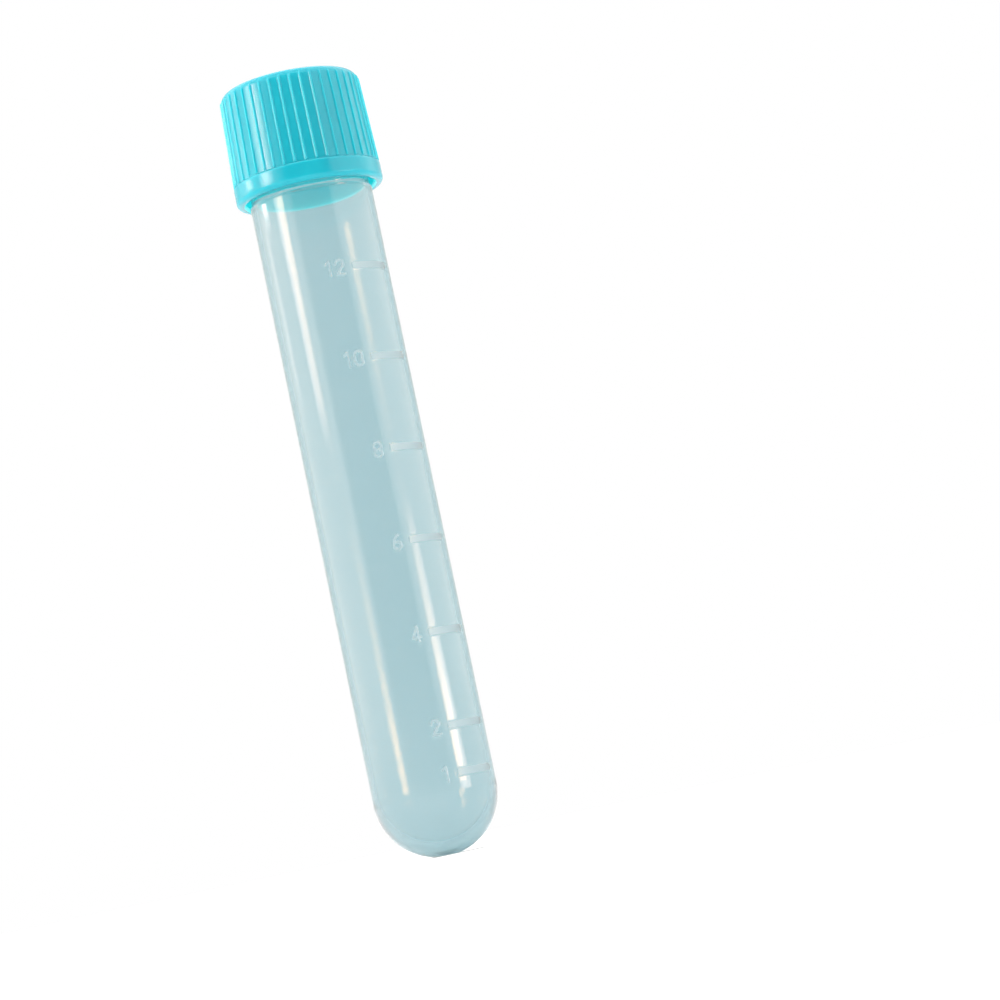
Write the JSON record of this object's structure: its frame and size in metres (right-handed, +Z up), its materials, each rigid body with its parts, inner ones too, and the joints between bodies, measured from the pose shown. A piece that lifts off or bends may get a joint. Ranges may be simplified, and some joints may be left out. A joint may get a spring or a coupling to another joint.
{
  "type": "test tube",
  "caption": "Round-bottom graduated plastic test tube with a ribbed screw cap and a sealing liner; the cap unscrews and lifts off.",
  "frame": {"origin": "pole of the round bottom, at the centre of its flat gate mark, which is the bottom centre of the bounding box", "axes": "+Z up the tube's axis to the cap; the numbers and graduation bars face -Y"},
  "size_m": [0.0194, 0.0194, 0.102],
  "materials": {
    "tube_plastic": "clear to slightly hazy moulded polypropylene",
    "cap_plastic": "satin teal moulded polyethylene",
    "liner_foam": "matt white polyethylene foam"
  },
  "bodies": {
    "tube": {"tube": "tube_plastic"},
    "liner": {"sealing_liner": "liner_foam"},
    "cap": {"screw_cap": "cap_plastic"}
  },
  "joints": [
    {"name": "cap_rise", "type": "slide", "parent": "tube", "child": "liner", "axis": [0, 0, 1], "range_m": [0, 0.02]},
    {"name": "cap_turn", "type": "hinge", "parent": "liner", "child": "cap", "pos_m": [0, 0, 0.095], "axis": [0, 0, 1], "range_deg": [0, 1440]}
  ],
  "couplings": [
    {"joint": "cap_rise", "follows": "cap_turn", "m_per_rad": 0.00079577}
  ]
}
